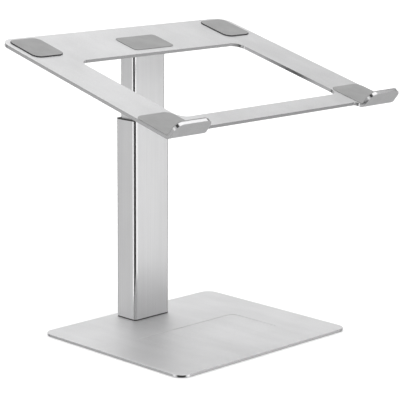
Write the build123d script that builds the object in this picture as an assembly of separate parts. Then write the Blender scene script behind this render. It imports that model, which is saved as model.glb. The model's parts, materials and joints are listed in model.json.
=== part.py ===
from build123d import *
import os
from math import cos, radians, sin, tan

# Laptop stand: a flat base, a two-stage rectangular column and a tilting platform.
# Millimetres.  Origin: centre of the base's underside, on the desk.
# +Z is up, -Y is the user's side, +X is the user's right.

# ---- Base ----
BASE_WIDTH = 235.0
BASE_DEPTH = 200.0
BASE_THICKNESS = 2.5
BASE_CORNER = 12.0
BASE_CHAMFER = 0.3
FOOT_PROUD = 0.3
FOOT_POCKET = 1.0
FOOT_RADIUS = 9.0
FOOT_INSET = 17.0
TRAY_WIDTH = 138.0
TRAY_DEPTH = 66.0
TRAY_CORNER = 8.0
TRAY_SINK = 0.4
TRAY_Y = -17.0

# ---- Column ----
COLUMN_Y = 78.75
OUTER_WIDTH = 48.5
OUTER_DEPTH = 28.5
OUTER_CORNER = 3.5
OUTER_TOP = 209.5
INNER_WIDTH = 43.5
INNER_DEPTH = 21.0
INNER_CORNER = 3.0
INNER_BOTTOM = 86.0
INNER_TOP = 274.8
TUBE_WALL = 1.5
SLIDE_GAP = 0.1
COLLAR_FLANGE = 1.2
COLLAR_SKIRT = 21.0
GLIDE_FLOOR = 2.0
GLIDE_HEIGHT = 42.0
GLIDE_PEG_RADIUS = 2.5
GLIDE_PEG_Z = 106.0
FOOT_BLOCK_HEIGHT = 20.0
HINGE_BLOCK_PLUG = 18.0
HINGE_BLOCK_TOP = 271.3

# ---- Gas strut inside the column ----
STRUT_RADIUS = 7.5
STRUT_BORE = 6.0
STRUT_TOP = 170.0
STRUT_FLOOR = 3.0
STRUT_STUD_RADIUS = 3.0
STRUT_STUD_LENGTH = 10.0
GLAND_HEIGHT = 8.0
ROD_RADIUS = 3.0
ROD_SPIGOT_RADIUS = 2.0
ROD_STUD_RADIUS = 2.5
PISTON_HEIGHT = 8.0
PISTON_TOP = 95.0
ROD_CLEARANCE = 0.03
PISTON_CLEARANCE = 0.05

# ---- Tilt hinge ----
TILT = 15.0
HINGE_Z = 276.69
HINGE_TO_PLATE = 6.8
LUG_WIDTH = 16.0
LUG_RADIUS = 5.0
PIN_RADIUS = 2.5
PIN_HEAD_RADIUS = 4.2
PIN_HEAD_LENGTH = 3.0
PIN_HEAD_CHAMFER = 0.3
PIN_SOCKET = 3.0
PIN_CLEARANCE = 0.03
BUSH_RADIUS = 3.5
BUSH_LENGTH = 6.0
WASHER_RADIUS = 4.5
WASHER_THICKNESS = 0.9
WASHER_GAP = 0.05
EAR_THICKNESS = 4.5
EAR_RADIUS = 4.5
SPRING_WASHER_RADIUS = 4.4
SPRING_WASHER_THICKNESS = 0.6
SPRING_WASHER_CONE = 0.25
NUT_FLATS = 8.0
NUT_LENGTH = 4.0
PIN_OVERHANG = 1.0
BRACKET_THICKNESS = 2.5
BRACKET_WIDTH = 54.0
BRACKET_FRONT = -15.0
BRACKET_REAR = 20.0
BRACKET_CORNER = 4.0
BRACKET_SLOT = 12.0
SLOT_CORNER = 1.0

# ---- Platform, in its own frame: Y runs along the plate, Z is square to it, ----
# ---- and the frame's origin is the hinge axis                               ----
PLATE_WIDTH = 306.0
PLATE_THICKNESS = 3.2
PLATE_REAR = 42.0
PLATE_CORNER = 15.0
REAR_BAR = 67.6
WINDOW_DEPTH = 145.4
WINDOW_CORNER = 12.0
FRONT_CORNER = 5.0
FRONT_BAR = 23.4
ARM_WIDTH = 44.2
ARM_TIP = 7.0
LIP_ANGLE = 66.0
LIP_LENGTH = 16.8
LIP_CORNER = 8.0
BEND_RADIUS = 3.5

# ---- Rubber pads ----
PAD_THICKNESS = 1.0
PAD_EDGE = 0.3
SAME_LENGTH = 0.04
REAR_PAD_WIDTH = 36.4
REAR_PAD_DEPTH = 45.9
REAR_PAD_SIDE_INSET = 6.3
REAR_PAD_BACK_INSET = 5.0
PAD_CORNER = 8.0
CENTRE_PAD_WIDTH = 54.0
CENTRE_PAD_DEPTH = 33.5
CENTRE_PAD_Y = 0.0
CENTRE_PAD_THICKNESS = 0.5
CENTRE_PAD_CORNER = 5.0
FRONT_PAD_LENGTH = 45.0
FRONT_PAD_INSET = 1.2
FRONT_PAD_MARGIN = 0.2
FRONT_PAD_THICKNESS = 0.5
FRONT_PAD_BEND = 2.5
LINER_THICKNESS = 1.2
LINER_CORNER = 8.0

# ---- Screws: shank radius, head radius, head height, length ----
BASE_SCREW = (2.5, 4.6, 2.3, 13.0)
TUBE_SCREW = (1.5, 2.8, 1.3, 8.0)
BLOCK_SCREW = (1.5, 2.8, 1.3, 8.0)
BRACKET_SCREW = (2.0, 4.0, 2.2, 5.7)
BASE_SCREW_X = 15.0
BASE_SCREW_Y = 7.0
SIDE_SCREW_X = 12.0
TUBE_SCREW_Z = 17.5
BLOCK_SCREW_Z = 262.0
BRACKET_SCREW_X = 20.0
BRACKET_SCREW_Y = 11.0
SOCKET_SHARE = 0.55
SOCKET_DEPTH_SHARE = 0.6

# ---- Worked out from the above ----
BASE_TOP = FOOT_PROUD + BASE_THICKNESS
CAVITY_WIDTH = OUTER_WIDTH - 2 * TUBE_WALL
CAVITY_DEPTH = OUTER_DEPTH - 2 * TUBE_WALL
CAVITY_CORNER = OUTER_CORNER - TUBE_WALL
BORE_WIDTH = INNER_WIDTH - 2 * TUBE_WALL
BORE_DEPTH = INNER_DEPTH - 2 * TUBE_WALL
BORE_CORNER = INNER_CORNER - TUBE_WALL
FOOT_BLOCK_TOP = BASE_TOP + FOOT_BLOCK_HEIGHT
PLUG_BOTTOM = HINGE_BLOCK_TOP - HINGE_BLOCK_PLUG
PLATE_BOTTOM = HINGE_TO_PLATE
PLATE_TOP = HINGE_TO_PLATE + PLATE_THICKNESS
BRACKET_BOTTOM = HINGE_TO_PLATE - BRACKET_THICKNESS
WINDOW_REAR = PLATE_REAR - REAR_BAR
WINDOW_FRONT = WINDOW_REAR - WINDOW_DEPTH
FRONT_BAR_EDGE = WINDOW_FRONT - FRONT_BAR
BEND_Y = FRONT_BAR_EDGE - ARM_TIP
ARM_X = (PLATE_WIDTH - ARM_WIDTH) / 2
EAR_X = LUG_WIDTH / 2 + 2 * WASHER_GAP + WASHER_THICKNESS
EAR_END = EAR_X + EAR_THICKNESS
TUBE_REAR_Y = COLUMN_Y + OUTER_DEPTH / 2
INNER_REAR_Y = COLUMN_Y + INNER_DEPTH / 2

FROM_BELOW = (Align.CENTER, Align.CENTER, Align.MIN)
FROM_ABOVE = (Align.CENTER, Align.CENTER, Align.MAX)


def block(width, depth, corner, bottom, top, y=COLUMN_Y):
    """A rounded rectangular prism standing between two heights."""
    outline = RectangleRounded(width, depth, corner)
    return Pos(0, y, bottom) * extrude(outline, top - bottom)


def rod(radius, bottom, top, y=COLUMN_Y):
    """An upright cylinder between two heights, on the column's centre line."""
    return Pos(0, y, bottom) * Cylinder(radius, top - bottom, align=FROM_BELOW)


def cross_rod(radius, x_from, x_to):
    """A cylinder along X, centred on the local origin's X axis."""
    middle = (x_from + x_to) / 2
    return Pos(middle, 0, 0) * Rot(0, 90, 0) * Cylinder(radius, x_to - x_from)


def screw_blank(size):
    """A countersunk screw's envelope: flat of the head at z = 0, shank upwards."""
    shank, head, head_height, length = size
    cone = Cone(head, shank, head_height, align=FROM_BELOW)
    return cone + Cylinder(shank, length, align=FROM_BELOW)


def screw(size):
    """A countersunk screw with a hexagon socket in its head."""
    shank, head, head_height, length = size
    socket = extrude(RegularPolygon(shank * SOCKET_SHARE, 6), head_height * SOCKET_DEPTH_SHARE)
    return screw_blank(size) - socket


def base_screw_places():
    """Heads down in the base's underside, shanks up into the foot block."""
    spots = [(x, y) for x in (-BASE_SCREW_X, BASE_SCREW_X) for y in (-BASE_SCREW_Y, BASE_SCREW_Y)]
    return [Pos(x, COLUMN_Y + y, FOOT_PROUD) for x, y in spots]


def rear_screw_places(face_y, z):
    """Heads in a rear face at y = face_y, shanks pointing forwards."""
    return [Pos(x, face_y, z) * Rot(90, 0, 0) for x in (-SIDE_SCREW_X, SIDE_SCREW_X)]


def bracket_screw_places():
    """Heads in the platform's top face, shanks down into the bracket."""
    spots = [(x, y) for x in (-BRACKET_SCREW_X, BRACKET_SCREW_X)
             for y in (-BRACKET_SCREW_Y, BRACKET_SCREW_Y)]
    return [Pos(x, CENTRE_PAD_Y + y, PLATE_TOP) * Rot(180, 0, 0) for x, y in spots]


def cut_screws(body, places, size):
    """The body with a countersunk hole at each place."""
    for place in places:
        body -= place * screw_blank(size)
    return body


def group(pieces):
    """Separate solids kept together in one node."""
    return Compound(children=pieces)


def on_platform(shape):
    """From the platform's own frame to the stand's frame at rest."""
    return Pos(0, COLUMN_Y, HINGE_Z) * Rot(TILT, 0, 0) * shape


def on_hinge(shape):
    """From the hinge axis to the stand's frame, upright."""
    return Pos(0, COLUMN_Y, HINGE_Z) * shape


# ---- Base and outer column ----

def foot_places():
    """The four corners and the middle, where the rubber feet sit."""
    across = BASE_WIDTH / 2 - FOOT_INSET
    along = BASE_DEPTH / 2 - FOOT_INSET
    corners = [Pos(x, y, 0) for x in (-across, across) for y in (-along, along)]
    return [*corners, Pos(0, 0, 0)]


def make_base_plate():
    """Rounded flat plate with a shallow tray, foot pockets and screw holes."""
    plate = block(BASE_WIDTH, BASE_DEPTH, BASE_CORNER, FOOT_PROUD, BASE_TOP, y=0)
    plate = chamfer(plate.faces().sort_by(Axis.Z)[-1].edges(), BASE_CHAMFER)
    plate -= block(TRAY_WIDTH, TRAY_DEPTH, TRAY_CORNER, BASE_TOP - TRAY_SINK, BASE_TOP, y=TRAY_Y)
    for place in foot_places():
        pocket = Cylinder(FOOT_RADIUS, FOOT_POCKET, align=FROM_BELOW)
        plate -= place * Pos(0, 0, FOOT_PROUD) * pocket
    return cut_screws(plate, base_screw_places(), BASE_SCREW)


def make_base_feet():
    """Rubber discs set in the pockets and standing proud of them."""
    disc = Cylinder(FOOT_RADIUS, FOOT_PROUD + FOOT_POCKET, align=FROM_BELOW)
    return group([place * disc for place in foot_places()])


def make_base_screws():
    """Four screws that hold the column's foot block to the base."""
    return group([place * screw(BASE_SCREW) for place in base_screw_places()])


def make_foot_block():
    """Solid plug in the bottom of the outer tube."""
    body = block(CAVITY_WIDTH, CAVITY_DEPTH, CAVITY_CORNER, BASE_TOP, FOOT_BLOCK_TOP)
    body -= rod(STRUT_STUD_RADIUS, FOOT_BLOCK_TOP - STRUT_STUD_LENGTH, FOOT_BLOCK_TOP)
    body = cut_screws(body, base_screw_places(), BASE_SCREW)
    return cut_screws(body, rear_screw_places(TUBE_REAR_Y, TUBE_SCREW_Z), TUBE_SCREW)


def make_outer_tube():
    """Extruded lower column, standing on the base."""
    tube = block(OUTER_WIDTH, OUTER_DEPTH, OUTER_CORNER, BASE_TOP, OUTER_TOP)
    tube -= block(CAVITY_WIDTH, CAVITY_DEPTH, CAVITY_CORNER, BASE_TOP, OUTER_TOP)
    return cut_screws(tube, rear_screw_places(TUBE_REAR_Y, TUBE_SCREW_Z), TUBE_SCREW)


def make_tube_screws():
    """Two screws through the outer tube's rear wall into the foot block."""
    places = rear_screw_places(TUBE_REAR_Y, TUBE_SCREW_Z)
    return group([place * screw(TUBE_SCREW) for place in places])


def make_top_collar():
    """Glide ring pressed in the outer tube's mouth, with a flange that shows."""
    top = OUTER_TOP + COLLAR_FLANGE
    bottom = OUTER_TOP - COLLAR_SKIRT
    ring = block(OUTER_WIDTH, OUTER_DEPTH, OUTER_CORNER, OUTER_TOP, top)
    ring += block(CAVITY_WIDTH, CAVITY_DEPTH, CAVITY_CORNER, bottom, OUTER_TOP)
    opening = (INNER_WIDTH + 2 * SLIDE_GAP, INNER_DEPTH + 2 * SLIDE_GAP, INNER_CORNER + SLIDE_GAP)
    return ring - block(*opening, bottom, top)


def make_strut_cylinder():
    """Closed pressure tube with a threaded stud in the foot block."""
    body = rod(STRUT_RADIUS, FOOT_BLOCK_TOP, STRUT_TOP)
    body -= rod(STRUT_BORE, FOOT_BLOCK_TOP + STRUT_FLOOR, STRUT_TOP)
    return body + rod(STRUT_STUD_RADIUS, FOOT_BLOCK_TOP - STRUT_STUD_LENGTH, FOOT_BLOCK_TOP)


def make_strut_gland():
    """Seal and guide ring in the mouth of the pressure tube."""
    ring = rod(STRUT_BORE, STRUT_TOP - GLAND_HEIGHT, STRUT_TOP)
    return ring - rod(ROD_RADIUS + ROD_CLEARANCE, STRUT_TOP - GLAND_HEIGHT, STRUT_TOP)


# ---- Inner column, which slides ----

def make_strut_rod():
    """Piston rod from the piston up to its stud in the hinge block."""
    body = rod(ROD_RADIUS, PISTON_TOP, PLUG_BOTTOM)
    body += rod(ROD_SPIGOT_RADIUS, PISTON_TOP - PISTON_HEIGHT, PISTON_TOP)
    return body + rod(ROD_STUD_RADIUS, PLUG_BOTTOM, PLUG_BOTTOM + STRUT_STUD_LENGTH)


def make_strut_piston():
    """Piston on the rod's spigot."""
    bottom = PISTON_TOP - PISTON_HEIGHT
    disc = rod(STRUT_BORE - PISTON_CLEARANCE, bottom, PISTON_TOP)
    return disc - rod(ROD_SPIGOT_RADIUS, bottom, PISTON_TOP)


def peg_places():
    """Where the lower glide's pegs pass through the inner tube's wall."""
    reach = (INNER_DEPTH - TUBE_WALL) / 2
    return [Pos(0, COLUMN_Y + y, GLIDE_PEG_Z) * Rot(90, 0, 0) for y in (-reach, reach)]


def make_inner_tube():
    """Extruded upper column, with two holes for the glide's pegs."""
    tube = block(INNER_WIDTH, INNER_DEPTH, INNER_CORNER, INNER_BOTTOM, INNER_TOP)
    tube -= block(BORE_WIDTH, BORE_DEPTH, BORE_CORNER, INNER_BOTTOM, INNER_TOP)
    for place in peg_places():
        tube -= place * Cylinder(GLIDE_PEG_RADIUS, TUBE_WALL)
    return cut_screws(tube, rear_screw_places(INNER_REAR_Y, BLOCK_SCREW_Z), BLOCK_SCREW)


def make_lower_glide():
    """Plastic shoe on the inner tube's lower end; its top is the travel stop."""
    bottom = INNER_BOTTOM - GLIDE_FLOOR
    top = bottom + GLIDE_HEIGHT
    width = CAVITY_WIDTH - 2 * SLIDE_GAP
    depth = CAVITY_DEPTH - 2 * SLIDE_GAP
    shoe = block(width, depth, CAVITY_CORNER - SLIDE_GAP, bottom, top)
    shoe -= block(INNER_WIDTH, INNER_DEPTH, INNER_CORNER, INNER_BOTTOM, top)
    shoe -= block(BORE_WIDTH, BORE_DEPTH, BORE_CORNER, bottom, INNER_BOTTOM)
    for place in peg_places():
        shoe += place * Cylinder(GLIDE_PEG_RADIUS, TUBE_WALL)
    return shoe


def make_hinge_block():
    """Plug in the inner tube's top, with the lug that carries the hinge pin."""
    body = block(BORE_WIDTH, BORE_DEPTH, BORE_CORNER, PLUG_BOTTOM, HINGE_BLOCK_TOP)
    neck = HINGE_Z - HINGE_BLOCK_TOP
    lug = Pos(0, 0, -neck) * Box(LUG_WIDTH, 2 * LUG_RADIUS, neck, align=FROM_BELOW)
    lug += cross_rod(LUG_RADIUS, -LUG_WIDTH / 2, LUG_WIDTH / 2)
    lug = lug & Pos(0, 0, -neck) * Box(LUG_WIDTH, BORE_DEPTH, neck + LUG_RADIUS, align=FROM_BELOW)
    body += on_hinge(lug)
    body -= on_hinge(cross_rod(BUSH_RADIUS, -LUG_WIDTH / 2, LUG_WIDTH / 2))
    body -= rod(ROD_STUD_RADIUS, PLUG_BOTTOM, PLUG_BOTTOM + STRUT_STUD_LENGTH)
    return cut_screws(body, rear_screw_places(INNER_REAR_Y, BLOCK_SCREW_Z), BLOCK_SCREW)


def make_block_screws():
    """Two screws through the inner tube's rear wall into the hinge block."""
    places = rear_screw_places(INNER_REAR_Y, BLOCK_SCREW_Z)
    return group([place * screw(BLOCK_SCREW) for place in places])


def make_hinge_bushes():
    """A bearing bush in each end of the lug."""
    bushes = []
    for side in (-1, 1):
        outer = side * LUG_WIDTH / 2
        inner = side * (LUG_WIDTH / 2 - BUSH_LENGTH)
        ends = sorted((outer, inner))
        bush = cross_rod(BUSH_RADIUS, *ends) - cross_rod(PIN_RADIUS + PIN_CLEARANCE, *ends)
        bushes.append(on_hinge(bush))
    return group(bushes)


# ---- Platform and the hinge parts that turn with it ----

def stack_end():
    """X of the spring washers' outer face, where the nut sits."""
    return EAR_END + 2 * SPRING_WASHER_THICKNESS


def make_hinge_pin():
    """Shouldered pin, head on the left, thread on the right."""
    head = cross_rod(PIN_HEAD_RADIUS, -EAR_END - PIN_HEAD_LENGTH, -EAR_END)
    head = chamfer(head.edges().group_by(Axis.X)[0], PIN_HEAD_CHAMFER)
    pin = head + cross_rod(PIN_RADIUS, -EAR_END, stack_end() + NUT_LENGTH + PIN_OVERHANG)
    socket = extrude(RegularPolygon(PIN_SOCKET / 2, 6), PIN_HEAD_LENGTH / 2)
    pin -= Pos(-EAR_END - PIN_HEAD_LENGTH, 0, 0) * Rot(0, 90, 0) * socket
    return on_platform(pin)


def make_friction_washers():
    """A friction disc on each side of the lug."""
    discs = []
    for side in (-1, 1):
        ends = sorted((side * (EAR_X - WASHER_THICKNESS), side * EAR_X))
        discs.append(on_platform(cross_rod(WASHER_RADIUS, *ends) - cross_rod(PIN_RADIUS, *ends)))
    return group(discs)


def spring_washer(x, lean):
    """A cupped disc spring whose dish leans towards +X or -X."""
    outer = cross_rod(SPRING_WASHER_RADIUS, x, x + SPRING_WASHER_THICKNESS)
    rim = outer - cross_rod(PIN_RADIUS, x, x + SPRING_WASHER_THICKNESS)
    edges = rim.edges().filter_by(GeomType.CIRCLE).group_by(SortBy.RADIUS)[-1]
    edge = edges.sort_by(Axis.X)[-1 if lean > 0 else 0]
    return chamfer([edge], SPRING_WASHER_CONE)


def make_spring_washers():
    """Two disc springs between the right-hand ear and the nut."""
    first = spring_washer(EAR_END, 1)
    second = spring_washer(EAR_END + SPRING_WASHER_THICKNESS, -1)
    return group([on_platform(first), on_platform(second)])


def make_hinge_nut():
    """Lock nut that sets the tilt friction."""
    nut = extrude(RegularPolygon(NUT_FLATS / 2, 6, major_radius=False), NUT_LENGTH)
    nut -= Cylinder(PIN_RADIUS, NUT_LENGTH, align=FROM_BELOW)
    return on_platform(Pos(stack_end(), 0, 0) * Rot(0, 90, 0) * nut)


def make_tilt_bracket():
    """Flat plate under the rear bar, with two ears down to the hinge pin."""
    depth = BRACKET_REAR - BRACKET_FRONT
    middle = (BRACKET_REAR + BRACKET_FRONT) / 2
    plate = block(BRACKET_WIDTH, depth, BRACKET_CORNER, BRACKET_BOTTOM, PLATE_BOTTOM, y=middle)
    lug_slot = 2 * EAR_X
    plate -= block(lug_slot, BRACKET_SLOT, SLOT_CORNER, BRACKET_BOTTOM, PLATE_BOTTOM, y=0)
    end_slot = stack_end() + NUT_LENGTH + PIN_OVERHANG - EAR_END
    slot = block(end_slot, BRACKET_SLOT, SLOT_CORNER, BRACKET_BOTTOM, PLATE_BOTTOM, y=0)
    shift = EAR_END + end_slot / 2
    plate -= Pos(shift, 0, 0) * slot
    plate -= Pos(-shift, 0, 0) * slot
    for side in (-1, 1):
        ends = sorted((side * EAR_X, side * EAR_END))
        ear = cross_rod(EAR_RADIUS, *ends)
        web = Box(EAR_THICKNESS, 2 * EAR_RADIUS, BRACKET_BOTTOM, align=FROM_BELOW)
        ear += Pos(sum(ends) / 2, 0, 0) * web
        plate += ear - cross_rod(PIN_RADIUS, *ends)
    return on_platform(cut_screws(plate, bracket_screw_places(), BRACKET_SCREW))


def make_bracket_screws():
    """Four screws through the rear bar into the bracket, under the centre pad."""
    return group([on_platform(place * screw(BRACKET_SCREW)) for place in bracket_screw_places()])


def lip_direction():
    """Unit vector up the lip, in the platform's Y and Z."""
    return -cos(radians(LIP_ANGLE)), sin(radians(LIP_ANGLE))


def arm_profile():
    """Side view of an arm's front end: the flat, the bend and the lip."""
    up_y, up_z = lip_direction()
    out_y, out_z = -up_z, up_y
    half_turn = tan(radians(LIP_ANGLE / 2))
    inner_top = (BEND_Y + LIP_LENGTH * up_y, PLATE_TOP + LIP_LENGTH * up_z)
    outer_top = (inner_top[0] + PLATE_THICKNESS * out_y, inner_top[1] + PLATE_THICKNESS * out_z)
    elbow = (BEND_Y - PLATE_THICKNESS * half_turn, PLATE_BOTTOM)
    start = FRONT_BAR_EDGE
    outline = Polyline((start, PLATE_TOP), (BEND_Y, PLATE_TOP), inner_top, outer_top, elbow,
                       (start, PLATE_BOTTOM), close=True)
    profile = make_face(Plane.YZ * outline)
    inside = profile.vertices().sort_by_distance((0, BEND_Y, PLATE_TOP))[0]
    profile = fillet([inside], BEND_RADIUS)
    outside = profile.vertices().sort_by_distance((0, *elbow))[0]
    return fillet([outside], BEND_RADIUS + PLATE_THICKNESS)


def make_arm_front(side):
    """One arm's front end with its upturned lip, rounded at the lip's corners."""
    body = extrude(arm_profile(), ARM_WIDTH / 2, both=True)
    up_y, up_z = lip_direction()
    tip = Vector(0, BEND_Y + LIP_LENGTH * up_y, PLATE_TOP + LIP_LENGTH * up_z)
    across = [edge for edge in body.edges() if abs(edge.length - PLATE_THICKNESS) < SAME_LENGTH]
    corners = [edge for edge in across if abs((edge.center() - tip).Y) < PLATE_THICKNESS
               and edge.center().Z > PLATE_TOP + LIP_LENGTH / 2]
    body = fillet(corners, LIP_CORNER)
    return Pos(side * ARM_X, 0, 0) * body


def make_platform_frame():
    """Plate with one large window, two arms and their upturned lips."""
    depth = PLATE_REAR - FRONT_BAR_EDGE
    middle = (PLATE_REAR + FRONT_BAR_EDGE) / 2
    outline = Pos(0, middle) * Rectangle(PLATE_WIDTH, depth)
    rear = outline.vertices().group_by(Axis.Y)[-1]
    outline = fillet(rear, PLATE_CORNER)
    window_width = PLATE_WIDTH - 2 * ARM_WIDTH
    window_middle = (WINDOW_REAR + WINDOW_FRONT) / 2
    outline -= Pos(0, window_middle) * RectangleRounded(window_width, WINDOW_DEPTH, WINDOW_CORNER)
    plate = Pos(0, 0, PLATE_BOTTOM) * extrude(outline, PLATE_THICKNESS)
    for side in (-1, 1):
        plate += make_arm_front(side)
    inner_corners = [edge for edge in plate.edges().filter_by(Axis.Z)
                     if abs(edge.center().Y - FRONT_BAR_EDGE) < PAD_EDGE
                     and abs(abs(edge.center().X) - window_width / 2) < PAD_EDGE]
    plate = fillet(inner_corners, FRONT_CORNER)
    return on_platform(cut_screws(plate, bracket_screw_places(), BRACKET_SCREW))


# ---- Pads ----

def flat_pad(width, depth, corner, thickness, x, y):
    """A flat pad on the platform's top face."""
    return Pos(x, 0, 0) * block(width, depth, corner, PLATE_TOP, PLATE_TOP + thickness, y=y)


def make_rear_pad(side):
    """A thick pad on a rear corner of the platform."""
    x = side * (PLATE_WIDTH / 2 - REAR_PAD_SIDE_INSET - REAR_PAD_WIDTH / 2)
    y = PLATE_REAR - REAR_PAD_BACK_INSET - REAR_PAD_DEPTH / 2
    pad = flat_pad(REAR_PAD_WIDTH, REAR_PAD_DEPTH, PAD_CORNER, PAD_THICKNESS, x, y)
    return on_platform(chamfer(pad.faces().sort_by(Axis.Z)[-1].edges(), PAD_EDGE))


def make_rear_centre_pad():
    """A thin pad that hides the bracket's screws."""
    pad = flat_pad(CENTRE_PAD_WIDTH, CENTRE_PAD_DEPTH, CENTRE_PAD_CORNER,
                   CENTRE_PAD_THICKNESS, 0, CENTRE_PAD_Y)
    return on_platform(pad)


def front_pad_profile():
    """Side view of a front pad: flat on the arm, turned up the lip's inner face."""
    up_y, up_z = lip_direction()
    in_y, in_z = up_z, -up_y
    lip_top = (BEND_Y + LIP_LENGTH * up_y, PLATE_TOP + LIP_LENGTH * up_z)
    back_top = (lip_top[0] + LINER_THICKNESS * in_y, lip_top[1] + LINER_THICKNESS * in_z)
    rise = (FRONT_PAD_THICKNESS - LINER_THICKNESS * in_z) / up_z
    inner = (BEND_Y + LINER_THICKNESS * in_y + rise * up_y, PLATE_TOP + FRONT_PAD_THICKNESS)
    rear_y = BEND_Y + FRONT_PAD_LENGTH
    outline = Polyline((rear_y, PLATE_TOP), (BEND_Y, PLATE_TOP), lip_top, back_top, inner,
                       (rear_y, PLATE_TOP + FRONT_PAD_THICKNESS), close=True)
    profile = make_face(Plane.YZ * outline)
    under = profile.vertices().sort_by_distance((0, BEND_Y, PLATE_TOP))[0]
    profile = fillet([under], BEND_RADIUS)
    over = profile.vertices().sort_by_distance((0, *inner))[0]
    return fillet([over], FRONT_PAD_BEND)


def make_front_pad(side):
    """A pad over an arm's front end and lip, rounded at its four corners."""
    width = ARM_WIDTH - FRONT_PAD_INSET - FRONT_PAD_MARGIN
    x = side * (PLATE_WIDTH / 2 - FRONT_PAD_MARGIN - width / 2)
    rear_y = BEND_Y + FRONT_PAD_LENGTH
    pad = extrude(front_pad_profile(), width / 2, both=True)
    rear = [edge for edge in pad.edges().filter_by(Axis.Z) if edge.center().Y > rear_y - PAD_EDGE]
    pad = fillet(rear, PAD_CORNER)
    tips = [edge for edge in pad.edges() if abs(edge.length - LINER_THICKNESS) < SAME_LENGTH
            and edge.center().Z > PLATE_TOP + LIP_LENGTH / 2]
    pad = fillet(tips, LINER_CORNER)
    return on_platform(Pos(x, 0, 0) * pad)


PARTS = {
    "base_plate": make_base_plate,
    "base_feet": make_base_feet,
    "base_screws": make_base_screws,
    "foot_block": make_foot_block,
    "outer_tube": make_outer_tube,
    "tube_screws": make_tube_screws,
    "top_collar": make_top_collar,
    "strut_cylinder": make_strut_cylinder,
    "strut_gland": make_strut_gland,
    "strut_rod": make_strut_rod,
    "strut_piston": make_strut_piston,
    "inner_tube": make_inner_tube,
    "lower_glide": make_lower_glide,
    "hinge_block": make_hinge_block,
    "block_screws": make_block_screws,
    "hinge_bushes": make_hinge_bushes,
    "hinge_pin": make_hinge_pin,
    "friction_washers": make_friction_washers,
    "spring_washers": make_spring_washers,
    "hinge_nut": make_hinge_nut,
    "tilt_bracket": make_tilt_bracket,
    "bracket_screws": make_bracket_screws,
    "platform_frame": make_platform_frame,
    "rear_left_pad": lambda: make_rear_pad(-1),
    "rear_centre_pad": make_rear_centre_pad,
    "rear_right_pad": lambda: make_rear_pad(1),
    "front_left_pad": lambda: make_front_pad(-1),
    "front_right_pad": lambda: make_front_pad(1),
}

os.makedirs("parts", exist_ok=True)
for name, make in PARTS.items():
    export_step(make(), f"parts/{name}.step")
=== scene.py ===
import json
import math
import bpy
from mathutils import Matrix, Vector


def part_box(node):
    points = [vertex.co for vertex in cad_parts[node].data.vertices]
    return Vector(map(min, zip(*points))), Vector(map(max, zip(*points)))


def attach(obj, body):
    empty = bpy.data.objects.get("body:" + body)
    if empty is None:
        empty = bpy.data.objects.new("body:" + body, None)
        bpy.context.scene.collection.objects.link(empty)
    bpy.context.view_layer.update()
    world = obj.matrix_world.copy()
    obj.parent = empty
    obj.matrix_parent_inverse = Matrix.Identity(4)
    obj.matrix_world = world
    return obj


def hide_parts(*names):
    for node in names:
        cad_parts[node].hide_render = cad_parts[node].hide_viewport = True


bl_info = {
    "name": "Laptop stand finishes",
    "version": (1, 0, 0),
    "blender": (4, 5, 0),
    "location": "3D View > Sidebar > Laptop Stand",
    "description": "Rounded edges and finishes for the laptop stand, with its studio",
    "category": "Object",
}

import bmesh
import bpy
from bpy.props import FloatProperty, FloatVectorProperty, PointerProperty
from mathutils import Matrix, Vector

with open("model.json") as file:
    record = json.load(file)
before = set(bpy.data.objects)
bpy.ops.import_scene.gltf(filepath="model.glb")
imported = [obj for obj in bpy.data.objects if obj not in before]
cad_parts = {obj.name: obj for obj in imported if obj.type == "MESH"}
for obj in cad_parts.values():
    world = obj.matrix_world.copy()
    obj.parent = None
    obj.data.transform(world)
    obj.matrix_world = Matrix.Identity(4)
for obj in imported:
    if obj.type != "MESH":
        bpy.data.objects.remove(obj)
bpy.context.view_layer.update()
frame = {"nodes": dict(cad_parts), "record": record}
NODES = frame["nodes"]
RECORD = frame["record"]
BODY_OF = {node: body
           for body, nodes in RECORD["behaviour"]["bodies"].items() for node in nodes}
SLOT_OF = {part["node"]: part["material_slot"] for part in RECORD["subparts"]}
SLOT_COLOUR = {slot["slot"]: tuple(slot["base_color"][:3]) for slot in RECORD["materials"]}
MM = 0.001
REST_TILT = math.radians(15.0)  # the platform's lean in the frame


# ---- Shader writing ----

class Value:
    """A number that varies over a surface. Arithmetic on it adds Math nodes."""

    def __init__(self, finish, socket):
        self.finish = finish
        self.socket = socket

    def _math(self, operation, first, second):
        node = self.finish.node("ShaderNodeMath", {"operation": operation}, {0: first, 1: second})
        return self.finish.out(node, 0)

    def __add__(self, other):
        return self._math("ADD", self, other)

    __radd__ = __add__

    def __sub__(self, other):
        return self._math("SUBTRACT", self, other)

    def __rsub__(self, other):
        return self._math("SUBTRACT", other, self)

    def __mul__(self, other):
        return self._math("MULTIPLY", self, other)

    __rmul__ = __mul__

    def __truediv__(self, other):
        return self._math("DIVIDE", self, other)

    def __rtruediv__(self, other):
        return self._math("DIVIDE", other, self)

    def __pow__(self, other):
        return self._math("POWER", self, other)

    def __rpow__(self, other):
        return self._math("POWER", other, self)

    def between(self, low, high):
        """0 at low and below, 1 at high and above, smooth in between."""
        node = self.finish.node("ShaderNodeMapRange", {"interpolation_type": "SMOOTHSTEP"},
                                {"Value": self, "From Min": low, "From Max": high})
        return self.finish.out(node, "Result")


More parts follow.
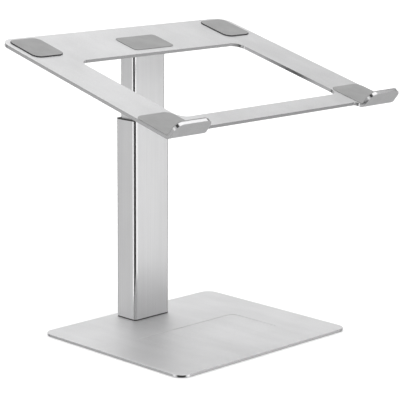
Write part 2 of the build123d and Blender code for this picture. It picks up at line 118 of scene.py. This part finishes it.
class Finish:
    """A node tree under construction, for a material or for the world."""

    def __init__(self, tree):
        self.tree = tree
        self.tree.nodes.clear()

    def node(self, kind, settings=None, inputs=None):
        """One node: its settings first, then the values or links of its sockets."""
        node = self.tree.nodes.new(kind)
        for name, setting in (settings or {}).items():
            if name == "stops":
                self._set_stops(node.color_ramp, setting)
            else:
                setattr(node, name, setting)
        for key, value in (inputs or {}).items():
            socket = self._socket(node.inputs, key)
            if isinstance(value, Value):
                self.tree.links.new(value.socket, socket)
            else:
                socket.default_value = value
        return node

    @staticmethod
    def _set_stops(ramp, stops):
        """Grey stops of a ramp, as pairs of position and level."""
        while len(ramp.elements) < len(stops):
            ramp.elements.new(1.0)
        for element, (position, level) in zip(ramp.elements, stops):
            element.position = position
            element.color = (level, level, level, 1.0)

    @staticmethod
    def _socket(sockets, key):
        """The socket of that index, identifier or name."""
        if isinstance(key, int):
            return sockets[key]
        for socket in sockets:
            if socket.identifier == key:
                return socket
        return sockets[key]

    def out(self, node, key):
        """One output of a node, ready for arithmetic."""
        return Value(self, self._socket(node.outputs, key))

    def place(self):
        """Object coordinates, in metres."""
        return self.out(self.node("ShaderNodeTexCoord"), "Object")

    def stretched(self, scale):
        """Object coordinates multiplied axis by axis."""
        node = self.node("ShaderNodeVectorMath", {"operation": "MULTIPLY"},
                         {0: self.place(), 1: scale})
        return self.out(node, "Vector")

    def noise(self, where, scale=1.0, detail=2.0, roughness=0.5):
        """Cloudy variation about 0.5, with scale waves to the metre of where."""
        node = self.node("ShaderNodeTexNoise", None, {
            "Vector": where, "Scale": scale, "Detail": detail, "Roughness": roughness})
        return self.out(node, 0)

    def cells(self, where, scale):
        """Distance to the middle of the nearest cell of a moulded grain."""
        node = self.node("ShaderNodeTexVoronoi", {"feature": "F1"},
                         {"Vector": where, "Scale": scale})
        return self.out(node, "Distance")

    def mix_colour(self, share, first, second):
        """The first colour where share is 0, the second where it is 1."""
        node = self.node("ShaderNodeMix", {"data_type": "RGBA"},
                         {"Factor_Float": share, "A_Color": first, "B_Color": second})
        return self.out(node, "Result_Color")

    def bump(self, height, depth, strength):
        """A normal that rises and falls with height, by depth at the most."""
        node = self.node("ShaderNodeBump", None,
                         {"Height": height, "Distance": depth, "Strength": strength})
        return self.out(node, "Normal")

    def surface(self, inputs):
        """The principled shader with these sockets, wired to the output."""
        shader = self.node("ShaderNodeBsdfPrincipled", None, inputs)
        self.node("ShaderNodeOutputMaterial", None, {"Surface": self.out(shader, "BSDF")})


def rgba(colour, factor=1.0):
    """A colour with alpha, made lighter or darker."""
    return (*[min(1.0, channel * factor) for channel in colour], 1.0)


MADE_FINISHES = {}


def finish(name, build, *values):
    """The material of that name, built on first use."""
    if name not in MADE_FINISHES:
        material = bpy.data.materials.new(name)
        material.use_nodes = True
        build(Finish(material.node_tree), *values)
        MADE_FINISHES[name] = material
    return MADE_FINISHES[name]


# ---- Finishes ----

def blasted_anodised(make, colour, roughness):
    """Bead-blasted aluminium under clear anodising: fine dimples and faint clouds."""
    clouds = make.noise(make.place(), scale=14.0, detail=3.0, roughness=0.55)
    dimples = make.noise(make.place(), scale=1100.0, roughness=0.6)
    handling = make.noise(make.stretched((60.0, 9.0, 60.0)), detail=4.0, roughness=0.6)
    shade = (clouds * 0.35 + handling * 0.25 + dimples * 0.4).between(0.35, 0.65)
    make.surface({
        "Base Color": make.mix_colour(shade, rgba(colour, 0.92), rgba(colour, 1.07)),
        "Metallic": 0.9,
        "Roughness": roughness - 0.05 + clouds * 0.06 + dimples * 0.05,
        "Normal": make.bump(dimples, depth=0.04 * MM, strength=0.5),
    })


def polished_edge(make, colour, roughness):
    """Cut and polished edge of the sheet: fine marks along the cut, small bright nicks."""
    marks = make.noise(make.stretched((90.0, 90.0, 5200.0)))
    nicks = make.noise(make.place(), scale=420.0, roughness=0.7).between(0.66, 0.8)
    tone = make.mix_colour(marks.between(0.35, 0.65), rgba(colour, 0.93), rgba(colour, 1.04))
    make.surface({
        "Base Color": make.mix_colour(nicks, tone, rgba(colour, 1.2)),
        "Metallic": 1.0,
        "Roughness": roughness + marks * 0.06 - nicks * 0.03,
        "Normal": make.bump(marks, depth=0.02 * MM, strength=0.35),
    })


def brushed_extrusion(make, colour, roughness):
    """Extruded tube, brushed along its length and anodised."""
    lines = make.noise(make.stretched((2400.0, 2400.0, 9.0)), roughness=0.6)
    broad = make.noise(make.stretched((160.0, 160.0, 4.0)))
    clouds = make.noise(make.place(), scale=22.0)
    shade = (lines * 0.5 + broad * 0.3 + clouds * 0.2).between(0.35, 0.65)
    make.surface({
        "Base Color": make.mix_colour(shade, rgba(colour, 0.95), rgba(colour, 1.03)),
        "Metallic": 0.9,
        "Roughness": roughness - 0.04 + lines * 0.05 + broad * 0.04,
        "Normal": make.bump(lines, depth=0.02 * MM, strength=0.25),
    })


def moulded_rubber(make, colour, roughness):
    """Matt silicone rubber: fine moulded grain, dust caught in it, slight mottling."""
    grain = make.cells(make.place(), 1800.0)
    mottle = make.noise(make.place(), scale=55.0, detail=3.0, roughness=0.6)
    dust = make.noise(make.place(), scale=900.0, roughness=0.7).between(0.62, 0.78)
    tone = make.mix_colour(mottle.between(0.3, 0.7), rgba(colour, 0.94), rgba(colour, 1.05))
    make.surface({
        "Base Color": make.mix_colour(dust * 0.25, tone, rgba(colour, 1.35)),
        "Roughness": roughness + mottle * 0.08 - grain * 0.1,
        "Specular IOR Level": 0.2,
        "Normal": make.bump(grain, depth=0.06 * MM, strength=0.5),
    })


def moulded_plastic(make, colour, roughness):
    """Moulded plastic with a spark-eroded texture."""
    grain = make.noise(make.place(), scale=1500.0, roughness=0.6)
    rub = make.noise(make.stretched((40.0, 40.0, 300.0))).between(0.5, 0.75)
    make.surface({
        "Base Color": make.mix_colour(rub, rgba(colour), rgba(colour, 1.25)),
        "Roughness": roughness + grain * 0.1 - rub * 0.08,
        "Specular IOR Level": 0.4,
        "Normal": make.bump(grain, depth=0.03 * MM, strength=0.4),
    })


def machined_metal(make, colour, roughness):
    """Machined or rolled metal: tool marks, oil-dulled patches, bright high spots."""
    marks = make.noise(make.stretched((1400.0, 300.0, 300.0)), roughness=0.55)
    patches = make.noise(make.place(), scale=90.0, detail=3.0, roughness=0.6)
    make.surface({
        "Base Color": make.mix_colour(patches.between(0.3, 0.7),
                                      rgba(colour, 0.88), rgba(colour, 1.08)),
        "Metallic": 1.0,
        "Roughness": roughness + patches * 0.12 - marks * 0.05,
        "Normal": make.bump(marks, depth=0.03 * MM, strength=0.4),
    })


def painted_steel(make, colour, roughness):
    """Semi-gloss paint with a slight orange peel."""
    peel = make.noise(make.place(), scale=420.0)
    make.surface({
        "Base Color": make.mix_colour(peel.between(0.3, 0.7),
                                      rgba(colour, 0.9), rgba(colour, 1.2)),
        "Roughness": roughness + peel * 0.08,
        "Coat Weight": 0.2,
        "Normal": make.bump(peel, depth=0.04 * MM, strength=0.3),
    })


# How each slot of the record is made, and how rough it is.
SLOT_FINISH = {
    "anodised_base": (blasted_anodised, 0.46),
    "anodised_tube": (brushed_extrusion, 0.34),
    "anodised_plate": (blasted_anodised, 0.38),
    "cast_block": (machined_metal, 0.36),
    "grey_rubber": (moulded_rubber, 0.62),
    "black_rubber": (moulded_rubber, 0.66),
    "black_plastic": (moulded_plastic, 0.42),
    "grey_plastic": (moulded_plastic, 0.45),
    "black_steel": (painted_steel, 0.32),
    "chromed_rod": (machined_metal, 0.08),
    "zinc_steel": (machined_metal, 0.24),
    "steel_bracket": (machined_metal, 0.30),
    "bronze_bush": (machined_metal, 0.34),
}

# The same for edges and rims, which have no slot of their own, and for the painted shade on the pads'
# sides and round the column's foot.
EDGE_FINISH = {
    "base_edge": (polished_edge, 0.16),
    "platform_edge": (polished_edge, 0.14),
    "tube_corner": (brushed_extrusion, 0.12),
    "tube_end": (polished_edge, 0.20),
    # Near-black band round the outer tube's foot: painted shade for the shadow line where the column
    # meets the base.
    "tube_foot_painted_shade": (machined_metal, 0.50),
    # Pads' side walls and rims in near-black: painted shade for the shadow line along the pads'
    # edges.
    "pad_side_painted_shade": (moulded_rubber, 0.70),
}
# Near-black for the column's foot band: painted shade where the tube stands on the base.
TUBE_FOOT_SHADE_COLOUR = (0.04, 0.04, 0.04)
# Near-black for the pads' side walls and rims: painted shade, not the grey rubber's own colour.
PAD_SIDE_SHADE_COLOUR = (0.035, 0.035, 0.037)


def slot_finish(slot, colour=None):
    """The finish of a record slot, in its recorded colour unless another is given."""
    build, roughness = SLOT_FINISH[slot]
    return finish(slot, build, tuple(colour or SLOT_COLOUR[slot]), roughness)


def edge_finish(name, colour):
    """The finish of an edge or a rim."""
    build, roughness = EDGE_FINISH[name]
    return finish(name, build, tuple(colour), roughness)


# ---- Shapes ----

SHARP = math.radians(32.0)      # a real edge, which gets rounded over
FACET = math.radians(2.0)       # from here up to SHARP, a step between facets of one curve
COPLANAR = math.radians(0.4)    # below this, two faces are one
SAME_POINT = 0.001 * MM
SHORT_FACET = 2.4 * MM          # shorter steps are too fine to show
FACET_SHARE = 45.0              # per cent of a facet that the blend into the next takes up
FACET_SEGMENTS = 3


def softened(node, radius, segments, finishes, edge_face=None, keeps_face=None, seam=None):
    """The node's shape with its sharp edges rounded over.

    finishes holds the face finish and any edge finishes. edge_face says which of
    the flat faces take the second finish, and keeps_face where everything keeps
    the face finish. The rounded edges take the last finish, and so does
    everything below the height seam, where the faces are cut through. Facets of
    one curve are blended into each other first, so that it shines as a curve.
    """
    last = len(finishes) - 1
    shape = bmesh.new()
    shape.from_mesh(NODES[node].data)
    bmesh.ops.remove_doubles(shape, verts=shape.verts, dist=SAME_POINT)
    bmesh.ops.dissolve_limit(shape, angle_limit=COPLANAR, verts=shape.verts, edges=shape.edges)
    steps = [edge for edge in shape.edges
             if edge.calc_length() > SHORT_FACET and FACET < edge.calc_face_angle(0.0) <= SHARP]
    if steps:
        bmesh.ops.bevel(shape, geom=steps, offset=FACET_SHARE, offset_type="PERCENT",
                        segments=FACET_SEGMENTS, profile=0.5, affect="EDGES",
                        clamp_overlap=True, material=-1)
    for face in shape.faces:
        on_edge = edge_face and edge_face(face.normal, face.calc_center_median())
        face.material_index = 1 if on_edge else 0
    sharp = [edge for edge in shape.edges if edge.calc_face_angle(0.0) > SHARP]
    if not sharp:
        raise RuntimeError(f"{node} has no sharp edge to round over")
    bmesh.ops.bevel(shape, geom=sharp, offset=radius, offset_type="OFFSET", segments=segments,
                    profile=0.5, affect="EDGES", clamp_overlap=True, material=last)
    if seam:
        bmesh.ops.bisect_plane(shape, geom=[*shape.verts, *shape.edges, *shape.faces],
                               plane_co=(0.0, 0.0, seam), plane_no=(0.0, 0.0, 1.0))
    for face in shape.faces:
        face.smooth = True
        if seam and face.calc_center_median().z < seam:
            face.material_index = last
        if keeps_face and keeps_face(face.calc_center_median()):
            face.material_index = 0
    mesh = bpy.data.meshes.new(f"{node}_rounded")
    shape.to_mesh(mesh)
    shape.free()
    for material in finishes:
        mesh.materials.append(material)
    piece = bpy.data.objects.new(f"{node}_rounded", mesh)
    bpy.context.scene.collection.objects.link(piece)
    flatten = piece.modifiers.new("Flat faces stay flat", "WEIGHTED_NORMAL")
    flatten.keep_sharp = True
    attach(piece, BODY_OF[node])
    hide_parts(node)
    return piece


# Which faces are edges, told by their normals: each limit is the share of the normal
# that points along one axis.
WALL_RISE = 0.5          # a wall's normal rises less than this
TURNED = 0.05            # a tube's corner is turned at least this far to both sides
SIDEWAYS = 0.02          # only the sheet's cut sides face this far across the platform
SQUARE_ON = 0.97         # the cut ends face along the platform, the lips' flats don't
LIP_TOP_LEAN = 0.2       # the lips' top edges face up and forwards by more than this
TRAY_REACH = 90.0 * MM   # the tray lies within this of the middle, the outer edge beyond it
TRAY_UNDER = 1.5 * MM    # the tray's walls are above this, the underside is below


def is_upright(normal, centre):
    """A wall of a part that lies flat."""
    return abs(normal.z) < WALL_RISE


def in_tray(centre):
    """Inside the shallow tray in the base, away from the base's outer edge."""
    within = abs(centre.x) < TRAY_REACH and abs(centre.y) < TRAY_REACH
    return within and centre.z > TRAY_UNDER


def is_corner(normal, centre):
    """A rounded corner of an upright tube."""
    return abs(normal.x) > TURNED and abs(normal.y) > TURNED


def in_platform(normal):
    """A direction in the platform's own frame, which leans back at rest."""
    return Matrix.Rotation(-REST_TILT, 3, "X") @ normal


def is_pad_side(normal, centre):
    """A side wall of a pad that lies on the platform's flat, where near-black painted shade goes."""
    return abs(in_platform(normal).z) < WALL_RISE


def is_sheet_edge(normal, centre):
    """A cut edge of the platform's sheet, on the flat or on the lips."""
    local = in_platform(normal)
    across = abs(local.x) > SIDEWAYS
    along = abs(local.y) > SQUARE_ON
    lip_top = local.y < -LIP_TOP_LEAN and local.z > LIP_TOP_LEAN
    return across or along or lip_top


# ---- Sizes and colours that a user would change ----

class SheetSettings(bpy.types.PropertyGroup):
    """Base plate and platform"""

    edge_radius: FloatProperty(
        name="Edge radius", description="Rounding of the sheet's cut edges",
        default=0.35 * MM, min=0.05 * MM, max=0.8 * MM, unit="LENGTH")
    face_colour: FloatVectorProperty(
        name="Face colour", description="Anodised faces of the platform",
        default=(0.62, 0.62, 0.625), size=3, subtype="COLOR", min=0.0, max=1.0)
    base_colour: FloatVectorProperty(
        name="Base colour", description="Anodised faces of the base",
        default=(0.66, 0.66, 0.665), size=3, subtype="COLOR", min=0.0, max=1.0)
    edge_colour: FloatVectorProperty(
        name="Edge colour", description="Polished cut edges",
        default=(0.52, 0.52, 0.525), size=3, subtype="COLOR", min=0.0, max=1.0)


class ColumnSettings(bpy.types.PropertyGroup):
    """Telescopic column and its collar"""

    end_radius: FloatProperty(
        name="End radius", description="Rounding of the tubes' cut ends",
        default=0.25 * MM, min=0.05 * MM, max=0.5 * MM, unit="LENGTH")
    # The dark line round the column's foot is painted shade, not a part of its own.
    seam_height: FloatProperty(
        name="Foot line height", description="Height of the dark line round the column's foot",
        default=1.0 * MM, min=0.3 * MM, max=2.0 * MM, unit="LENGTH")
    colour: FloatVectorProperty(
        name="Tube colour", description="Anodised tubes",
        default=(0.66, 0.66, 0.665), size=3, subtype="COLOR", min=0.0, max=1.0)


class HingeSettings(bpy.types.PropertyGroup):
    """Hinge block, bracket and the hardware on the pin"""

    edge_radius: FloatProperty(
        name="Edge radius", description="Deburring of the machined parts",
        default=0.2 * MM, min=0.05 * MM, max=0.4 * MM, unit="LENGTH")


class PadSettings(bpy.types.PropertyGroup):
    """Rubber pads and feet"""

    edge_radius: FloatProperty(
        name="Edge radius", description="Rounding of the thick pads' rims",
        default=0.18 * MM, min=0.05 * MM, max=0.5 * MM, unit="LENGTH")
    thin_edge_radius: FloatProperty(
        name="Thin edge radius", description="Rounding of the thin pads' rims",
        default=0.18 * MM, min=0.05 * MM, max=0.25 * MM, unit="LENGTH")
    colour: FloatVectorProperty(
        name="Pad colour", description="Silicone rubber of the pads",
        default=(0.305, 0.305, 0.305), size=3, subtype="COLOR", min=0.0, max=1.0)
    tightness: FloatProperty(
        name="Tightness", description="How full the pads are",
        default=1.0, min=0.0, max=1.0, subtype="FACTOR")


class StudioSettings(bpy.types.PropertyGroup):
    """Floor, surround and camera"""

    floor_side: FloatProperty(
        name="Floor side", description="Length of the floor's side",
        default=16.0, min=4.0, max=40.0, unit="LENGTH")
    lens: FloatProperty(
        name="Lens", description="Focal length on a 36 mm sensor, in millimetres",
        default=154.33, min=20.0, max=300.0, unit="CAMERA")
    surround: FloatProperty(
        name="Surround", description="Strength of the studio's even light",
        default=1.0, min=0.0, max=5.0)


# ---- Operators ----

class STAND_OT_base(bpy.types.Operator):
    """Base plate with rounded edges, and its feet"""

    bl_idname = "stand.base"
    bl_label = "Base plate and feet"

    def execute(self, context):
        sheet = context.scene.stand_sheet
        pads = context.scene.stand_pads
        face = slot_finish("anodised_base", sheet.base_colour)
        edge = edge_finish("base_edge", sheet.edge_colour)
        softened("base_plate", sheet.edge_radius, 3, [face, edge], is_upright,
                 keeps_face=in_tray)
        softened("base_feet", pads.edge_radius / 2, 2, [slot_finish("black_rubber")])
        return {"FINISHED"}


class STAND_OT_column(bpy.types.Operator):
    """Outer and inner tubes and the glide collar between them"""

    bl_idname = "stand.column"
    bl_label = "Telescopic column"

    def execute(self, context):
        column = context.scene.stand_column
        sheet = context.scene.stand_sheet
        tube = slot_finish("anodised_tube", column.colour)
        corner = edge_finish("tube_corner", column.colour)
        cut = edge_finish("tube_end", sheet.edge_colour)
        # foot is painted shade: a near-black band round the tube's lowest millimetre, where it meets
        # the base.
        foot = edge_finish("tube_foot_painted_shade", TUBE_FOOT_SHADE_COLOUR)
        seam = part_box("outer_tube")[0][2] + column.seam_height
        softened("outer_tube", column.end_radius, 2, [tube, corner, foot], is_corner,
                 seam=seam)
        softened("inner_tube", column.end_radius, 2, [tube, corner, cut], is_corner)
        softened("top_collar", column.end_radius, 2, [slot_finish("black_plastic")])
        return {"FINISHED"}


class STAND_OT_hinge(bpy.types.Operator):
    """Hinge block, bracket, pin, nut and washers, deburred"""

    bl_idname = "stand.hinge"
    bl_label = "Tilt hinge"

    def execute(self, context):
        radius = context.scene.stand_hinge.edge_radius
        for node in ("hinge_block", "tilt_bracket", "hinge_nut", "hinge_pin"):
            softened(node, radius, 2, [slot_finish(SLOT_OF[node])])
        for node in ("friction_washers", "hinge_bushes"):
            softened(node, radius / 2, 2, [slot_finish(SLOT_OF[node])])
        return {"FINISHED"}


class STAND_OT_platform(bpy.types.Operator):
    """Open-frame platform with polished cut edges"""

    bl_idname = "stand.platform"
    bl_label = "Platform"

    def execute(self, context):
        sheet = context.scene.stand_sheet
        face = slot_finish("anodised_plate", sheet.face_colour)
        edge = edge_finish("platform_edge", sheet.edge_colour)
        softened("platform_frame", sheet.edge_radius, 3, [face, edge], is_sheet_edge)
        return {"FINISHED"}


class STAND_OT_pads(bpy.types.Operator):
    """Rubber pads on the platform and its lips"""

    bl_idname = "stand.pads"
    bl_label = "Rubber pads"

    def execute(self, context):
        pads = context.scene.stand_pads
        rubber = slot_finish("grey_rubber", pads.colour)
        # side is the pads' painted shade: near-black on their side walls and rims, for the shadow
        # line along their edges.
        side = edge_finish("pad_side_painted_shade", PAD_SIDE_SHADE_COLOUR)
        for node in ("rear_left_pad", "rear_right_pad"):
            pad = softened(node, pads.edge_radius, 2, [rubber, side], is_pad_side)
        for node in ("rear_centre_pad", "front_left_pad", "front_right_pad"):
            pad = softened(node, pads.thin_edge_radius, 3, [rubber])
        return {"FINISHED"}


class STAND_OT_fittings(bpy.types.Operator):
    """Finishes of the screws, the strut and everything else that keeps its shape"""

    bl_idname = "stand.fittings"
    bl_label = "Screws, strut and inner parts"

    def execute(self, context):
        for node, shape in NODES.items():
            material = slot_finish(SLOT_OF[node])
            for place in shape.material_slots:
                place.material = material
        return {"FINISHED"}


# The studio's surround is laid out by direction from the stand. Height runs from -1
# straight down through 0 at eye level to 1 straight up, left from -1 to 1 as the camera
# sees it, and the way round from 0 behind the stand to 1 where the camera stands. Levels
# are brightnesses, and a pair is where a change begins and ends.
RING = [(0.0, 0.80), (0.24, 0.80), (0.31, 0.35), (0.38, 0.35), (0.44, 0.85), (0.56, 0.88),
        (0.61, 1.9), (0.74, 1.9), (0.81, 1.2), (0.87, 1.0), (0.905, 0.03), (1.0, 0.02)]
RING_LEAN = 0.10                 # the ring is this much darker at the far left, brighter at the right
DIAGONAL = math.sqrt(0.5)        # the camera stands on the diagonal between -X and -Y
LEVEL_FLOOR = 0.0001             # keeps straight up and straight down from dividing by 0
GAP_START = 0.89                 # way round at which the dark gap begins at eye level
GAP_SPREAD = (0.3, 0.7)          # heights over which the gap gets wider
GAP_EXTRA = 0.13                 # and by how much of the way round
GAP_BLUR = 0.02
GAP_TOP = (0.88, 0.96)           # heights at which the gap ends
GAP_SHADE = 0.97                 # share of the light that the gap takes away
GAP_OVERHEAD = (0.2, 0.35)       # heights above which the gap is on the left only
GAP_LEFT = (0.15, 0.35)          # and how far left that is
SIDE_LEVEL = 0.95                # between the ring and the ceiling
SIDE_DROP = 0.6                  # how much darker it is at the right
SIDE_CHANGE = (-0.1, 0.45)       # how far right that change is
CEILING_LEVEL = 1.9
CEILING_EDGE = (0.6, 0.72)
UNDER_LEVEL = 0.6                # below the ring
UNDER_EDGE = (0.3, 0.55)         # depths below eye level
RING_TOP = (0.12, 0.34)          # heights at which the ring gives way to what is above

FLOOR_GAP = 0.2 * MM             # the floor lies this far under the feet
FLOOR_PARTS = 8
CAMERA_PLACE = Vector((-1.16840, -1.18369, 0.49324))
CAMERA_RIGHT = Vector((0.71129, -0.70287, 0.00612))
CAMERA_UP = Vector((0.14321, 0.15343, 0.97773))


class STAND_OT_studio(bpy.types.Operator):
    """White floor, the surround that lights the stand, and the camera"""

    bl_idname = "stand.studio"
    bl_label = "Studio"

    def execute(self, context):
        studio = context.scene.stand_studio
        context.scene.view_settings.view_transform = "Standard"
        self.add_floor(context, studio.floor_side / 2)
        self.add_surround(context, studio.surround)
        self.add_camera(context, studio.lens)
        return {"FINISHED"}

    def add_floor(self, context, reach):
        """White paper under the stand, which the bright metal doesn't mirror."""
        shape = bmesh.new()
        bmesh.ops.create_grid(shape, x_segments=FLOOR_PARTS, y_segments=FLOOR_PARTS, size=reach)
        mesh = bpy.data.meshes.new("studio_floor")
        shape.to_mesh(mesh)
        shape.free()
        mesh.materials.append(finish("floor_paper", self.floor_paper))
        floor = bpy.data.objects.new("studio_floor", mesh)
        context.scene.collection.objects.link(floor)
        floor.location.z = -FLOOR_GAP
        floor.visible_glossy = False

    @staticmethod
    def floor_paper(make):
        """White background paper with a slight tooth, lit a little from within."""
        white = (1.0, 1.0, 1.0)
        tooth = make.noise(make.place(), scale=300.0)
        make.surface({
            "Base Color": make.mix_colour(tooth, rgba(white, 0.93), rgba(white, 0.95)),
            "Roughness": 0.9,
            "Specular IOR Level": 0.1,
            "Emission Color": rgba(white),
            "Emission Strength": 0.1,
        })

    def add_surround(self, context, strength):
        """Panels all round at eye level, a gap where the camera stands, a ceiling light."""
        world = bpy.data.worlds.new("studio_surround")
        world.use_nodes = True
        make = Finish(world.node_tree)
        direction = make.out(make.node("ShaderNodeTexCoord"), "Generated")
        parts = make.node("ShaderNodeSeparateXYZ", None, {"Vector": direction})
        x, y, height = (make.out(parts, index) for index in range(3))
        level = (x * x + y * y + LEVEL_FLOOR) ** 0.5
        towards = (x + y) * -DIAGONAL / level
        left = (y - x) * DIAGONAL / level
        way_round = towards * 0.5 + 0.5
        ramp = make.node("ShaderNodeValToRGB", {"stops": RING}, {"Fac": way_round})
        ring = make.out(ramp, "Color") * (1.0 - left * RING_LEAN)
        gap_start = GAP_START - height.between(*GAP_SPREAD) * GAP_EXTRA
        gap = (way_round - gap_start).between(-GAP_BLUR, GAP_BLUR)
        gap = gap * (1.0 - height.between(*GAP_TOP))
        gap = gap * (1.0 - height.between(*GAP_OVERHEAD) * (1.0 - left.between(*GAP_LEFT)))
        side = SIDE_LEVEL - (0.0 - left).between(*SIDE_CHANGE) * SIDE_DROP
        ceiling = side + height.between(*CEILING_EDGE) * (CEILING_LEVEL - side)
        above = ceiling * (1.0 - gap * GAP_SHADE)
        below = ring + (0.0 - height).between(*UNDER_EDGE) * (UNDER_LEVEL - ring)
        seen = below + height.between(*RING_TOP) * (above - below)
        background = make.node("ShaderNodeBackground", None,
                               {"Color": seen, "Strength": strength})
        make.node("ShaderNodeOutputWorld", None, {"Surface": make.out(background, "Background")})
        context.scene.world = world

    def add_camera(self, context, lens):
        """The camera in front of the stand, to its left and a little above it."""
        forward = CAMERA_UP.cross(CAMERA_RIGHT).normalized()
        data = bpy.data.cameras.new("studio_camera")
        data.lens = lens
        data.sensor_width = 36.0
        data.clip_start = 0.05
        data.clip_end = 60.0
        camera = bpy.data.objects.new("studio_camera", data)
        context.scene.collection.objects.link(camera)
        turn = Matrix((CAMERA_RIGHT, CAMERA_UP, -forward)).transposed()
        camera.matrix_world = Matrix.Translation(CAMERA_PLACE) @ turn.to_4x4()
        context.scene.camera = camera


# The fittings come last: a finish is made once, in the colour of the first to ask for it,
# and the pieces above ask with the user's colours.
OPERATORS = (STAND_OT_studio, STAND_OT_base, STAND_OT_column, STAND_OT_hinge,
             STAND_OT_platform, STAND_OT_pads, STAND_OT_fittings)
SETTINGS = {
    "stand_sheet": SheetSettings,
    "stand_column": ColumnSettings,
    "stand_hinge": HingeSettings,
    "stand_pads": PadSettings,
    "stand_studio": StudioSettings,
}


class STAND_PT_panel(bpy.types.Panel):
    """Lists the pieces of the laptop stand"""

    bl_label = "Laptop Stand"
    bl_idname = "STAND_PT_panel"
    bl_space_type = "VIEW_3D"
    bl_region_type = "UI"
    bl_category = "Laptop Stand"

    def draw(self, context):
        for operator in OPERATORS:
            self.layout.operator(operator.bl_idname)


CLASSES = (*SETTINGS.values(), *OPERATORS, STAND_PT_panel)


def register():
    """Make Blender know the settings, the operators and the panel."""
    for one in CLASSES:
        bpy.utils.register_class(one)
    for name, group in SETTINGS.items():
        setattr(bpy.types.Scene, name, PointerProperty(type=group))


def unregister():
    """Take them out again."""
    for name in SETTINGS:
        delattr(bpy.types.Scene, name)
    for one in reversed(CLASSES):
        bpy.utils.unregister_class(one)


def main():
    """Build everything in order."""
    register()
    bpy.ops.stand.studio()
    bpy.ops.stand.base()
    bpy.ops.stand.column()
    bpy.ops.stand.hinge()
    bpy.ops.stand.platform()
    bpy.ops.stand.pads()
    bpy.ops.stand.fittings()


if __name__ == "__main__":
    main()
